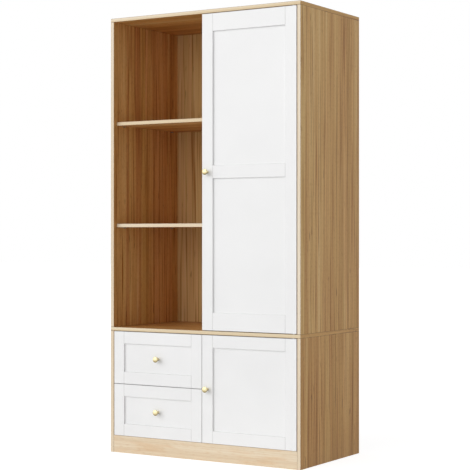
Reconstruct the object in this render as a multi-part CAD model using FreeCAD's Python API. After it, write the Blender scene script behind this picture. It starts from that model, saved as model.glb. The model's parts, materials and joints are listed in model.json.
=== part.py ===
import FreeCAD, Part
import math
import os

# A wardrobe: an open column over two drawers on the left, a tall door over a small one
# on the right. Millimetres, X to the right, Y to the back, Z up.
# The origin is on the floor under the middle of the carcass.

# Carcass of oak-faced boards
carcass_width = 900.0
carcass_depth = 500.0
carcass_height = 1800.0
board = 15.0
board_ease = 0.6                  # eased arris of every board
lower_section_height = 504.0      # floor to the underside of the middle board
plinth_height = 55.0
partition_setback = 20.0          # partitions and shelves behind the front edges
lower_shelf_height = 933.0        # floor to the underside
upper_shelf_height = 1356.0
shelf_side_gap = 0.5

# Back panels, held in grooves
back_thickness = 5.0
back_inset = 20.0                 # behind the back panels, to the rear edges of the boards
back_groove_depth = 5.0

# Fit of boards and panels in grooves
groove_clearance = 0.2            # on each face
groove_end_gap = 0.5

# Inset fronts: stiles and rails around a sunk panel
front_thickness = 16.0
front_gap = 2.0                   # beside and above a front, and between fronts
bottom_gap = 1.0                  # under the lower row of fronts
hinge_gap = 3.0                   # beside the hinged edge of a door
stile_width = 50.0
lower_rail_width = 50.0           # rails of the drawers and the lower door
tall_rail_width = 71.0            # top and bottom rail of the tall door
middle_rail_width = 52.0
front_ease = 0.6
panel_sink = 7.0                  # panel face behind the frame's face
panel_thickness = 6.0
front_groove_depth = 8.0
lower_drawer_front_height = 213.0

# Turned brass knobs
knob_projection = 25.0
knob_head_radius = 12.0
knob_neck_radius = 3.8
knob_foot_radius = 5.5
knob_foot_length = 2.0
knob_neck_height = 5.0            # from the front to the thinnest place
knob_rim_height = 19.5            # from the front to the back of the rim
knob_rim_length = 3.0
knob_dome_radius = 10.8           # of the domed face's edge
knob_flare_sag = 1.6              # hollow of the flare
knob_rim_sag = 0.5
knob_stud_radius = 2.0
door_stud_length = 11.0
drawer_stud_length = 19.0

# Door pivots: a pin in the carcass, a bush in the door
pivot_inset = 16.0                # axis to the hinged edge of the door
pivot_base_radius = 4.0
pivot_base_length = 6.0
pivot_collar_radius = 5.5
pivot_pin_radius = 2.5
pivot_pin_length = 10.0           # of pin inside the bush
pivot_side_clearance = 0.05
pivot_end_clearance = 0.2
bush_radius = 4.5
bush_length = 12.0

# Magnetic catches and their strikes
catch_height = 32.0
catch_width = 14.0
catch_depth = 20.0
catch_ear_length = 11.0
catch_ear_thickness = 2.0
catch_gap = 0.3
strike_thickness = 1.2
strike_height = 36.0
strike_width = 12.0
strike_prong_radius = 1.0
strike_prong_length = 4.0
strike_prong_share = 0.33         # of the strike's height, from its middle

# Drawer boxes
box_board = 12.0
box_depth = 430.0
box_lift = 22.0                   # above the lower edge of the front
box_drop = 28.0                   # below the upper edge of the front
box_bottom_thickness = 4.0
box_bottom_lift = 10.0
box_groove_depth = 6.0

# Runners: a channel on the carcass, a hat section on the drawer box
runner_space = 12.5               # between the carcass and the box
runner_length = 400.0
runner_sheet = 1.2
runner_front_gap = 3.0
channel_height = 35.0
channel_depth = 10.0
channel_lip = 5.0
hat_crown_height = 22.0
hat_flange_height = 32.0
hat_flange_distance = 5.0         # from the carcass to the flange
runner_lift = 60.0                # centre line above the box's lower edge
runner_screw_shares = (0.08, 0.5, 0.92)

# Hanging rail and its sockets
rail_width = 15.0
rail_height = 30.0
rail_wall = 1.5
rail_drop = 60.0                  # centre line under the top board
rail_end_gap = 0.5
socket_plate_width = 24.0
socket_plate_height = 64.0
socket_plate_thickness = 3.0
socket_wall = 2.5
socket_depth = 12.0
socket_clearance = 0.3
socket_screw_margin = 7.0         # screw centre to the plate's end

# Shelf pins
pin_radius = 2.5
pin_depth = 8.0
pin_pad_length = 9.0
pin_pad_width = 9.0
pin_pad_thickness = 3.0
pin_margin = 50.0                 # to the front and back edge of the shelf

# Joinery in the boards
fastener_clearance = 0.05
fastener_end_gap = 0.5
dowel_radius = 4.0
dowel_in_face = 9.0
dowel_in_end = 20.0
dowel_margin = 130.0              # from the front edges of the boards
lower_dowel_margin = 178.0        # under the middle board, clear of the dowels above it
cam_radius = 7.5
cam_thickness = 12.0
cam_setback = 24.0                # cam centre to the end of its board
cam_margin = 90.0                 # from the front edges of the boards
cam_slot_width = 1.5
cam_slot_depth = 2.0
bolt_head_radius = 3.5
bolt_head_length = 3.0
bolt_shaft_radius = 2.5
bolt_thread_radius = 3.5
bolt_thread_length = 9.0
assembly_margin = 60.0            # assembly screws from the front edges of the boards
assembly_head_radius = 5.0
assembly_head_length = 4.0
assembly_shank_radius = 3.5
assembly_core_radius = 2.5
assembly_length = 50.0
screw_head_radius = 3.5
screw_head_length = 2.0
screw_radius = 1.75
screw_length = 11.0
overrun = 1.0                     # of a cutter past the face that it opens

# Planes that follow from the sizes
half_width = carcass_width / 2
front_y = -carcass_depth / 2
rear_y = carcass_depth / 2
inner_x = half_width - board
half_board = board / 2
side_x = half_width - half_board
middle_top = lower_section_height + board
top_underside = carcass_height - board
floor_board_top = plinth_height + board
setback_y = front_y + partition_setback
back_rear_y = rear_y - back_inset
back_front_y = back_rear_y - back_thickness
front_back_y = front_y + front_thickness
panel_y = front_y + panel_sink
half_gap = front_gap / 2
tongue = front_groove_depth - groove_end_gap

door_left = half_gap
door_right = inner_x - hinge_gap
drawer_left = -inner_x + front_gap
drawer_right = -half_gap
tall_bottom = middle_top + front_gap
tall_top = top_underside - front_gap
lower_bottom = floor_board_top + bottom_gap
lower_top = lower_section_height - front_gap
lower_drawer_top = lower_bottom + lower_drawer_front_height
upper_drawer_bottom = lower_drawer_top + front_gap
pivot_x = door_right - pivot_inset
pivot_y = front_y + front_thickness / 2

left = FreeCAD.Vector(-1, 0, 0)
right = FreeCAD.Vector(1, 0, 0)
forward = FreeCAD.Vector(0, -1, 0)
backward = FreeCAD.Vector(0, 1, 0)
down = FreeCAD.Vector(0, 0, -1)
up = FreeCAD.Vector(0, 0, 1)
origin = FreeCAD.Vector(0, 0, 0)

nodes = {}                        # node name to its list of solids
cutters = {}                      # node name to what is cut out of it


def block(x0, y0, z0, x1, y1, z1):
    """A box between two corners."""
    return Part.makeBox(x1 - x0, y1 - y0, z1 - z0, FreeCAD.Vector(x0, y0, z0))


def eased_block(x0, y0, z0, x1, y1, z1, ease):
    """A box with every arris slightly rounded."""
    solid = block(x0, y0, z0, x1, y1, z1)
    return solid.makeFillet(ease, solid.Edges)


def rod(radius, start, direction, length):
    return Part.makeCylinder(radius, length, start, direction)


def stepped_rod(steps, start, direction):
    """Coaxial cylinders end to end; steps are pairs of radius and length."""
    solid = None
    at = start
    for radius, length in steps:
        piece = rod(radius, at, direction, length)
        solid = piece if solid is None else solid.fuse(piece)
        at = at + direction * length
    return solid.removeSplitter()


def stadium_bar(width, height, length, x, y, z):
    """A bar along X whose section is a slot shape standing on its end."""
    radius = width / 2
    straight = height - width
    bar = block(x, y - radius, z - straight / 2, x + length, y + radius, z + straight / 2)
    for side in (-1, 1):
        centre = FreeCAD.Vector(x, y, z + side * straight / 2)
        bar = bar.fuse(rod(radius, centre, right, length))
    return bar.removeSplitter()


def absolute(vector):
    return FreeCAD.Vector(abs(vector.x), abs(vector.y), abs(vector.z))


def add(name, *solids):
    nodes.setdefault(name, []).extend(solids)


def cut_from(name, *solids):
    cutters.setdefault(name, []).extend(solids)


# Boards of the carcass

def carcass_board(name, x0, y0, z0, x1, y1, z1):
    add(name, eased_block(x0, y0, z0, x1, y1, z1, board_ease))


def carcass_boards():
    carcass_board("top_panel", -half_width, front_y, top_underside, half_width, rear_y, carcass_height)
    carcass_board(
        "middle_panel", -half_width, front_y, lower_section_height, half_width, rear_y, middle_top
    )
    carcass_board("bottom_panel", -inner_x, front_y, plinth_height, inner_x, rear_y, floor_board_top)
    for side, low, high in (("left", -half_width, -inner_x), ("right", inner_x, half_width)):
        carcass_board(f"upper_{side}_side", low, front_y, middle_top, high, rear_y, top_underside)
        carcass_board(f"lower_{side}_side", low, front_y, 0, high, rear_y, lower_section_height)
    for level, low, high in (
        ("upper", middle_top, top_underside),
        ("lower", floor_board_top, lower_section_height),
    ):
        carcass_board(
            f"{level}_partition", -half_board, setback_y, low, half_board, back_front_y, high
        )


def plinth():
    """Front and rear plinth boards, and the bearer between them under the middle."""
    rear_front_y = back_rear_y - board
    front_back = front_y + board
    carcass_board("front_plinth", -inner_x, front_y, 0, inner_x, front_back, plinth_height)
    carcass_board("rear_plinth", -inner_x, rear_front_y, 0, inner_x, back_rear_y, plinth_height)
    carcass_board("centre_bearer", -half_board, front_back, 0, half_board, rear_front_y, plinth_height)


def back_panels():
    """Each back panel stands in a groove in the four boards around it."""
    for level, low, high, neighbours in (
        ("upper", middle_top, top_underside,
         ("middle_panel", "top_panel", "upper_left_side", "upper_right_side")),
        ("lower", floor_board_top, lower_section_height,
         ("bottom_panel", "middle_panel", "lower_left_side", "lower_right_side")),
    ):
        reach = back_groove_depth - groove_end_gap
        add(f"{level}_back_panel", block(
            -inner_x - reach, back_front_y, low - reach,
            inner_x + reach, back_rear_y, high + reach,
        ))
        groove = block(
            -inner_x - back_groove_depth, back_front_y - groove_clearance, low - back_groove_depth,
            inner_x + back_groove_depth, back_rear_y + groove_clearance, high + back_groove_depth,
        )
        for neighbour in neighbours:
            cut_from(neighbour, groove)


def shelves():
    """Two loose shelves in the open column, each on four pins."""
    low_x = -inner_x + shelf_side_gap
    high_x = -half_board - shelf_side_gap
    for name, height in (("lower_shelf", lower_shelf_height), ("upper_shelf", upper_shelf_height)):
        carcass_board(name, low_x, setback_y, height, high_x, back_front_y, height + board)
        for wall, face_x, out in (
            ("upper_left_side", -inner_x, right),
            ("upper_partition", -half_board, left),
        ):
            for y in (setback_y + pin_margin, back_front_y - pin_margin):
                shelf_pin(wall, FreeCAD.Vector(face_x, y, height), out)


def shelf_pin(wall, place, out):
    """A peg in the wall with a flat pad under the shelf; place is at the shelf's underside."""
    axis_start = place + down * pin_radius
    peg = rod(pin_radius, axis_start - out * pin_depth, out, pin_depth + pin_pad_length)
    pad_end = place + out * pin_pad_length
    pad = block(
        min(place.x, pad_end.x), place.y - pin_pad_width / 2, place.z - pin_pad_thickness,
        max(place.x, pad_end.x), place.y + pin_pad_width / 2, place.z,
    )
    add("shelf_pins", peg.fuse(pad).removeSplitter())
    hole_depth = pin_depth + fastener_end_gap
    hole_start = axis_start - out * hole_depth
    cut_from(wall, rod(pin_radius + fastener_clearance, hole_start, out, hole_depth + overrun))


# Joints between boards. A joint's place is where the fastener crosses from one board's end
# into the other board's face, and towards points from the end into the face.

def dowel_joint(end_board, face_board, place, towards):
    add("dowels", rod(dowel_radius, place - towards * dowel_in_end, towards, dowel_in_end + dowel_in_face))
    hole_length = dowel_in_end + dowel_in_face + 2 * fastener_end_gap
    hole_start = place - towards * (dowel_in_end + fastener_end_gap)
    hole = rod(dowel_radius + fastener_clearance, hole_start, towards, hole_length)
    cut_from(end_board, hole)
    cut_from(face_board, hole)


def cam_joint(end_board, face_board, place, towards, cam_face):
    """A cam set in the end board, drawing in a bolt that stands in the face board."""
    centre = place - towards * cam_setback
    on_face = centre + cam_face * half_board
    add("cam_bolts", stepped_rod(
        (
            (bolt_head_radius, bolt_head_length),
            (bolt_shaft_radius, cam_setback - bolt_head_length),
            (bolt_thread_radius, bolt_thread_length),
        ),
        centre, towards,
    ))
    bolt_way = rod(
        bolt_head_radius + fastener_clearance, centre - towards * fastener_end_gap, towards,
        cam_setback + bolt_thread_length + 2 * fastener_end_gap,
    )
    cam = rod(cam_radius, on_face, -cam_face, cam_thickness)
    slot_reach = absolute(cam_face) * cam_slot_depth + backward * cam_radius
    slot_reach = slot_reach + absolute(towards) * (cam_slot_width / 2)
    low = on_face - slot_reach
    high = on_face + slot_reach
    driver_slot = block(low.x, low.y, low.z, high.x, high.y, high.z)
    add("cam_locks", cam.cut([bolt_way, driver_slot]))
    bore_radius = cam_radius + fastener_clearance
    bore_depth = cam_thickness + fastener_end_gap
    bore = rod(bore_radius, on_face + cam_face * overrun, -cam_face, bore_depth + overrun)
    cut_from(end_board, bolt_way, bore)
    cut_from(face_board, bolt_way)


def assembly_joint(face_board, end_board, place, towards):
    """A screw sunk in the face board and driven on into the end board."""
    outer = place - towards * board
    core_length = assembly_length - board
    shank_length = board - assembly_head_length
    add("assembly_screws", stepped_rod(
        (
            (assembly_head_radius, assembly_head_length),
            (assembly_shank_radius, shank_length),
            (assembly_core_radius, core_length),
        ),
        outer, towards,
    ))
    hole = stepped_rod(
        (
            (assembly_head_radius + fastener_clearance, assembly_head_length + overrun),
            (assembly_shank_radius + fastener_clearance, shank_length),
            (assembly_core_radius + fastener_clearance, core_length + fastener_end_gap),
        ),
        outer - towards * overrun, towards,
    )
    cut_from(face_board, hole)
    cut_from(end_board, hole)


def small_screw(place, into, *through):
    """A pan-head screw whose head stands on place; through are the nodes that it holds."""
    head_start = place - into * screw_head_length
    add("small_screws", stepped_rod(
        ((screw_head_radius, screw_head_length), (screw_radius, screw_length)), head_start, into
    ))
    hole = rod(
        screw_radius + fastener_clearance, place - into * overrun, into,
        screw_length + fastener_end_gap + overrun,
    )
    for name in through:
        cut_from(name, hole)


def places_along(margin):
    """Two places along a board's depth, as far from the front as from the back panel."""
    return (front_y + margin, back_front_y - margin)


def carcass_joints():
    uprights = (("left_side", -side_x), ("partition", 0), ("right_side", side_x))
    for piece, x in uprights:
        upper = f"upper_{piece}"
        lower = f"lower_{piece}"
        for y in places_along(assembly_margin):
            assembly_joint("top_panel", upper, FreeCAD.Vector(x, y, top_underside), down)
            assembly_joint("middle_panel", upper, FreeCAD.Vector(x, y, middle_top), up)
        for y in places_along(dowel_margin):
            dowel_joint(upper, "top_panel", FreeCAD.Vector(x, y, top_underside), up)
            dowel_joint(upper, "middle_panel", FreeCAD.Vector(x, y, middle_top), down)
        cam_face = left if x > 0 else right
        for y in places_along(cam_margin):
            cam_joint(lower, "middle_panel", FreeCAD.Vector(x, y, lower_section_height), up, cam_face)
        for y in places_along(lower_dowel_margin):
            dowel_joint(lower, "middle_panel", FreeCAD.Vector(x, y, lower_section_height), up)
    for y in places_along(dowel_margin):
        dowel_joint("lower_partition", "bottom_panel", FreeCAD.Vector(0, y, floor_board_top), down)


def floor_joints():
    """Bottom board and plinth boards between the lower sides, and the bearer between plinths."""
    board_middle = plinth_height + half_board
    plinth_middle = plinth_height / 2
    for side, x, towards in (("lower_left_side", -inner_x, left), ("lower_right_side", inner_x, right)):
        for y in places_along(cam_margin):
            cam_joint("bottom_panel", side, FreeCAD.Vector(x, y, board_middle), towards, down)
        for y in places_along(dowel_margin):
            dowel_joint("bottom_panel", side, FreeCAD.Vector(x, y, board_middle), towards)
        front_place = FreeCAD.Vector(x, front_y + half_board, plinth_middle)
        rear_place = FreeCAD.Vector(x, back_rear_y - half_board, plinth_middle)
        dowel_joint("front_plinth", side, front_place, towards)
        dowel_joint("rear_plinth", side, rear_place, towards)
    bearer_front = FreeCAD.Vector(0, front_y + board, plinth_middle)
    bearer_rear = FreeCAD.Vector(0, back_rear_y - board, plinth_middle)
    dowel_joint("centre_bearer", "front_plinth", bearer_front, forward)
    dowel_joint("centre_bearer", "rear_plinth", bearer_rear, backward)


# Hanging space

def hanging_rail():
    """An oval tube from the upper partition to the right side, in a socket at each end."""
    y = (front_y + back_front_y) / 2
    z = top_underside - rail_drop
    start = half_board + socket_plate_thickness + rail_end_gap
    end = inner_x - socket_plate_thickness - rail_end_gap
    bore_width = rail_width - 2 * rail_wall
    bore_height = rail_height - 2 * rail_wall
    tube = stadium_bar(rail_width, rail_height, end - start, start, y, z)
    bore = stadium_bar(bore_width, bore_height, end - start + 2 * overrun, start - overrun, y, z)
    add("hanging_rail", tube.cut(bore))
    for wall, face_x, out in (("upper_partition", half_board, right), ("upper_right_side", inner_x, left)):
        rail_socket(wall, face_x, out, y, z)


def rail_socket(wall, face_x, out, y, z):
    """A plate on the wall with a collar around the end of the rail."""
    low_plate = min(face_x, face_x + out.x * socket_plate_thickness)
    low_collar = min(face_x, face_x + out.x * socket_depth)
    low_mouth = min(face_x + out.x * socket_plate_thickness, face_x + out.x * (socket_depth + overrun))
    mouth_length = socket_depth + overrun - socket_plate_thickness
    grow = 2 * (socket_clearance + socket_wall)
    plate = stadium_bar(socket_plate_width, socket_plate_height, socket_plate_thickness, low_plate, y, z)
    collar = stadium_bar(rail_width + grow, rail_height + grow, socket_depth, low_collar, y, z)
    mouth = stadium_bar(
        rail_width + 2 * socket_clearance, rail_height + 2 * socket_clearance, mouth_length,
        low_mouth, y, z,
    )
    socket = plate.fuse(collar).cut(mouth)
    reach = socket_plate_height / 2 - socket_screw_margin
    screw_x = face_x + out.x * socket_plate_thickness
    holes = []
    for side in (-1, 1):
        place = FreeCAD.Vector(screw_x, y, z + side * reach)
        small_screw(place, -out, wall)
        holes.append(rod(screw_radius + fastener_clearance, place + out * overrun, -out,
                         socket_plate_thickness + 2 * overrun))
    add("rail_sockets", socket.cut(holes))


# Fronts

def framed_front(left_x, right_x, low_z, high_z, rail_width_here, middle_width):
    """Two stiles, the rails from the bottom up, and the panels between them.

    The rails have a tongue at each end, and one groove around each opening holds
    the tongues and the panel. A middle width of zero leaves the middle rail out.
    """
    inner_left = left_x + stile_width
    inner_right = right_x - stile_width
    tongue_left = inner_left - tongue
    tongue_right = inner_right + tongue
    panel_back_y = panel_y + panel_thickness
    groove_y = panel_y - groove_clearance
    groove_back_y = panel_back_y + groove_clearance

    stiles = []
    for low, high, groove_low in (
        (left_x, inner_left, inner_left - front_groove_depth),
        (inner_right, right_x, inner_right - overrun),
    ):
        stile = eased_block(low, front_y, low_z, high, front_back_y, high_z, front_ease)
        groove = block(
            groove_low, groove_y, low_z - overrun,
            groove_low + front_groove_depth + overrun, groove_back_y, high_z + overrun,
        )
        stiles.append(stile.cut(groove))

    spans = [(low_z, low_z + rail_width_here)]
    if middle_width > 0:
        middle = (low_z + high_z) / 2
        spans.append((middle - middle_width / 2, middle + middle_width / 2))
    spans.append((high_z - rail_width_here, high_z))

    rails = []
    for low, high in spans:
        rail = eased_block(inner_left, front_y, low, inner_right, front_back_y, high, front_ease)
        rail = rail.fuse(block(tongue_left, panel_y, low, tongue_right, panel_back_y, high))
        if low > low_z:
            rail = rail.cut(block(
                tongue_left - overrun, groove_y, low - overrun,
                tongue_right + overrun, groove_back_y, low + front_groove_depth,
            ))
        if high < high_z:
            rail = rail.cut(block(
                tongue_left - overrun, groove_y, high - front_groove_depth,
                tongue_right + overrun, groove_back_y, high + overrun,
            ))
        rails.append(rail)

    panels = []
    for below, above in zip(spans[:-1], spans[1:]):
        panels.append(block(
            tongue_left, panel_y, below[1] - tongue, tongue_right, panel_back_y, above[0] + tongue
        ))
    return stiles, rails, panels


def bulged(start, end, sag):
    """An arc between two outline points that stands off its chord by the sag."""
    chord = end - start
    across = FreeCAD.Vector(chord.z, 0, -chord.x).normalize()
    return Part.Arc(start, (start + end) / 2 + across * sag, end).toShape()


def knob(x, z, face_y, stud_length):
    """A turned knob: a foot, a thin neck, a flare up to the rim and a domed face."""
    def point(radius, height):
        return FreeCAD.Vector(radius, 0, height)

    rim_top = knob_rim_height + knob_rim_length
    stud_end = point(0, -stud_length)
    stud_edge = point(knob_stud_radius, -stud_length)
    stud_root = point(knob_stud_radius, 0)
    foot_root = point(knob_foot_radius, 0)
    foot_edge = point(knob_foot_radius, knob_foot_length)
    neck = point(knob_neck_radius, knob_neck_height)
    rim_back = point(knob_head_radius, knob_rim_height)
    dome_edge = point(knob_dome_radius, rim_top)
    tip = point(0, knob_projection)
    dome_rise = knob_projection - rim_top
    sphere_radius = (knob_dome_radius**2 + dome_rise**2) / (2 * dome_rise)
    half_turn = math.asin(knob_dome_radius / sphere_radius) / 2
    dome_middle = point(
        sphere_radius * math.sin(half_turn),
        knob_projection - sphere_radius + sphere_radius * math.cos(half_turn),
    )
    outline = Part.Wire([
        Part.makeLine(stud_end, stud_edge),
        Part.makeLine(stud_edge, stud_root),
        Part.makeLine(stud_root, foot_root),
        Part.makeLine(foot_root, foot_edge),
        Part.makeLine(foot_edge, neck),
        bulged(neck, rim_back, -knob_flare_sag),
        bulged(rim_back, dome_edge, knob_rim_sag),
        Part.Arc(dome_edge, dome_middle, tip).toShape(),
        Part.makeLine(tip, stud_end),
    ])
    solid = Part.Face(outline).revolve(origin, up, 360)
    solid.rotate(origin, right, 90)
    solid.translate(FreeCAD.Vector(x, face_y, z))
    return solid


def stud_hole(x, z, depth):
    start = FreeCAD.Vector(x, front_y - overrun, z)
    return rod(knob_stud_radius + fastener_clearance, start, backward, depth + overrun)


# Doors

def pivot(door, carcass_node, stile_node, face_z, edge_z, into_door):
    """A pin standing in a carcass board, and the bush around it in the door's edge."""
    on_face = FreeCAD.Vector(pivot_x, pivot_y, face_z)
    on_edge = FreeCAD.Vector(pivot_x, pivot_y, edge_z)
    gap = abs(edge_z - face_z)
    collar_length = gap - pivot_end_clearance
    add("door_pivots", stepped_rod(
        (
            (pivot_base_radius, pivot_base_length),
            (pivot_collar_radius, collar_length),
            (pivot_pin_radius, pivot_end_clearance + pivot_pin_length),
        ),
        on_face - into_door * pivot_base_length, into_door,
    ))
    base_hole_depth = pivot_base_length + fastener_end_gap
    cut_from(carcass_node, rod(
        pivot_base_radius + fastener_clearance, on_face + into_door * overrun,
        -into_door, base_hole_depth + overrun,
    ))
    bush = rod(bush_radius, on_edge, into_door, bush_length)
    bore = rod(
        pivot_pin_radius + pivot_side_clearance, on_edge - into_door * overrun, into_door,
        bush_length + 2 * overrun,
    )
    add(f"{door}_bushes", bush.cut(bore))
    cut_from(stile_node, rod(
        bush_radius + fastener_clearance, on_edge - into_door * overrun, into_door,
        bush_length + fastener_end_gap + overrun,
    ))


def catch(door, stile_node, partition, z):
    """A magnet in its housing on the partition, and the pronged strike on the door."""
    low_x = half_board
    strike_back_y = front_back_y + strike_thickness
    low_y = strike_back_y + catch_gap
    half_height = catch_height / 2
    body = block(low_x, low_y, z - half_height, low_x + catch_width, low_y + catch_depth, z + half_height)
    ear_reach = half_height + catch_ear_length
    ears = block(
        low_x, low_y, z - ear_reach,
        low_x + catch_ear_thickness, low_y + catch_depth, z + ear_reach,
    )
    housing = body.fuse(ears).removeSplitter()
    holes = []
    for side in (-1, 1):
        screw_z = z + side * (half_height + catch_ear_length / 2)
        place = FreeCAD.Vector(low_x + catch_ear_thickness, low_y + catch_depth / 2, screw_z)
        small_screw(place, left, partition)
        holes.append(rod(screw_radius + fastener_clearance, place + right * overrun, left,
                         catch_ear_thickness + 2 * overrun))
    add("magnetic_catches", housing.cut(holes))

    middle_x = low_x + catch_width / 2
    plate = block(
        middle_x - strike_width / 2, front_back_y, z - strike_height / 2,
        middle_x + strike_width / 2, strike_back_y, z + strike_height / 2,
    )
    for side in (-1, 1):
        root = FreeCAD.Vector(middle_x, front_back_y, z + side * strike_height * strike_prong_share)
        plate = plate.fuse(rod(strike_prong_radius, root, forward, strike_prong_length))
        cut_from(stile_node, rod(
            strike_prong_radius + fastener_clearance, root + backward * overrun, forward,
            strike_prong_length + fastener_end_gap + overrun,
        ))
    add(f"{door}_strike", plate.removeSplitter())


def door(name, low_z, high_z, rail_width_here, middle_width, partition, boards):
    """A framed door with its knob, bushes and strike; boards are below and above it."""
    stiles, rails, panels = framed_front(
        door_left, door_right, low_z, high_z, rail_width_here, middle_width
    )
    add(f"{name}_left_stile", stiles[0])
    add(f"{name}_right_stile", stiles[1])
    add(f"{name}_bottom_rail", rails[0])
    if middle_width > 0:
        add(f"{name}_middle_rail", rails[1])
    add(f"{name}_top_rail", rails[-1])
    add(f"{name}_panel" if len(panels) == 1 else f"{name}_panels", *panels)

    knob_x = door_left + stile_width / 2
    middle = (low_z + high_z) / 2
    add(f"{name}_knob", knob(knob_x, middle, front_y, door_stud_length))
    cut_from(f"{name}_left_stile", stud_hole(knob_x, middle, door_stud_length + fastener_end_gap))

    below, below_z, above, above_z = boards
    right_stile = f"{name}_right_stile"
    pivot(name, below, right_stile, below_z, low_z, up)
    pivot(name, above, right_stile, above_z, high_z, down)
    catch(name, f"{name}_left_stile", partition, middle)


# Drawers

def runner_block(wall_x, out, near, far, low_z, high_z):
    """A length of runner between two distances from the carcass wall."""
    low_y = front_back_y + runner_front_gap
    xs = sorted((wall_x + out.x * near, wall_x + out.x * far))
    return block(xs[0], low_y, low_z, xs[1], low_y + runner_length, high_z)


def runner_pair(drawer_name, wall, wall_x, out, z):
    """A lipped channel on the wall, and a hat section on the drawer box that runs in it."""
    half_channel = channel_height / 2
    half_crown = hat_crown_height / 2
    half_flange = hat_flange_height / 2
    hat_flange_end = hat_flange_distance + runner_sheet
    crown_start = runner_space - runner_sheet
    channel = runner_block(wall_x, out, 0, runner_sheet, z - half_channel, z + half_channel)
    hat = runner_block(wall_x, out, crown_start, runner_space, z - half_crown, z + half_crown)
    for side in (-1, 1):
        edge = z + side * half_channel
        inside = edge - side * runner_sheet
        lip = edge - side * channel_lip
        channel = channel.fuse([
            runner_block(wall_x, out, 0, channel_depth, min(edge, inside), max(edge, inside)),
            runner_block(
                wall_x, out, channel_depth - runner_sheet, channel_depth, min(edge, lip), max(edge, lip)
            ),
        ])
        crown_edge = z + side * half_crown
        crown_inside = crown_edge - side * runner_sheet
        flange_edge = z + side * half_flange
        hat = hat.fuse([
            runner_block(
                wall_x, out, hat_flange_distance, runner_space,
                min(crown_edge, crown_inside), max(crown_edge, crown_inside),
            ),
            runner_block(
                wall_x, out, hat_flange_distance, hat_flange_end,
                min(crown_inside, flange_edge), max(crown_inside, flange_edge),
            ),
        ])
    channel = channel.removeSplitter()
    low_y = front_back_y + runner_front_gap
    holes = []
    for share in runner_screw_shares:
        place = FreeCAD.Vector(wall_x + out.x * runner_sheet, low_y + runner_length * share, z)
        small_screw(place, -out, wall)
        holes.append(rod(screw_radius + fastener_clearance, place + out * overrun, -out,
                         runner_sheet + 2 * overrun))
    add("cabinet_runners", channel.cut(holes))
    add(f"{drawer_name}_runners", hat.removeSplitter())


def drawer_box(name, low_z, high_z):
    """Sides, inner front and back around a bottom that stands in grooves."""
    left_x = -inner_x + runner_space
    right_x = -half_board - runner_space
    inner_left = left_x + box_board
    inner_right = right_x - box_board
    back_y = front_back_y + box_depth
    bottom_z = low_z + box_bottom_lift
    bottom_top = bottom_z + box_bottom_thickness
    groove = block(
        inner_left - box_groove_depth, front_back_y + box_board - box_groove_depth,
        bottom_z - groove_clearance,
        inner_right + box_groove_depth, back_y - box_board + box_groove_depth,
        bottom_top + groove_clearance,
    )
    add(
        f"{name}_box_sides",
        eased_block(left_x, front_back_y, low_z, inner_left, back_y, high_z, front_ease).cut(groove),
        eased_block(inner_right, front_back_y, low_z, right_x, back_y, high_z, front_ease).cut(groove),
    )
    ends = []
    for y in (front_back_y, back_y - box_board):
        end = eased_block(inner_left, y, low_z, inner_right, y + box_board, high_z, front_ease)
        ends.append(end.cut(groove))
    add(f"{name}_box_ends", *ends)
    reach = box_groove_depth - groove_end_gap
    add(f"{name}_bottom", block(
        inner_left - reach, front_back_y + box_board - reach, bottom_z,
        inner_right + reach, back_y - box_board + reach, bottom_top,
    ))
    runner_z = low_z + runner_lift
    runner_pair(name, "lower_left_side", -inner_x, right, runner_z)
    runner_pair(name, "lower_partition", -half_board, left, runner_z)


def drawer(name, low_z, high_z):
    stiles, rails, panels = framed_front(drawer_left, drawer_right, low_z, high_z, lower_rail_width, 0)
    add(f"{name}_front_stiles", *stiles)
    add(f"{name}_front_rails", *rails)
    add(f"{name}_front_panel", *panels)
    drawer_box(name, low_z + box_lift, high_z - box_drop)
    knob_x = (drawer_left + drawer_right) / 2
    knob_z = (low_z + high_z) / 2
    add(f"{name}_knob", knob(knob_x, knob_z, panel_y, drawer_stud_length))
    hole = stud_hole(knob_x, knob_z, panel_sink + drawer_stud_length + fastener_end_gap)
    cut_from(f"{name}_front_panel", hole)
    cut_from(f"{name}_box_ends", hole)


carcass_boards()
plinth()
back_panels()
shelves()
carcass_joints()
floor_joints()
hanging_rail()
door(
    "tall_door", tall_bottom, tall_top, tall_rail_width, middle_rail_width, "upper_partition",
    ("middle_panel", middle_top, "top_panel", top_underside),
)
door(
    "lower_door", lower_bottom, lower_top, lower_rail_width, 0, "lower_partition",
    ("bottom_panel", floor_board_top, "middle_panel", lower_section_height),
)
drawer("upper_drawer", upper_drawer_bottom, lower_top)
drawer("lower_drawer", lower_bottom, lower_drawer_top)

os.makedirs("parts", exist_ok=True)
for name, solids in nodes.items():
    if name in cutters:
        solids = [solid.cut(cutters[name]) for solid in solids]
    shape = solids[0] if len(solids) == 1 else Part.makeCompound(solids)
    shape.exportStep(f"parts/{name}.step")
    print(name, len(shape.Solids), "valid" if shape.isValid() else "NOT VALID")
print(len(nodes), "nodes")
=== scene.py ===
# Wardrobe with an open shelf column over two drawers, beside a tall door over a small one.
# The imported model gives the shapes. This script gives them oak decor board, white lacquer,
# turned brass and plain fittings, adds the drawers' small screws, and sets up a white studio.
import json
import math
import bmesh
import bpy
from mathutils import Matrix, Vector


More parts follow.
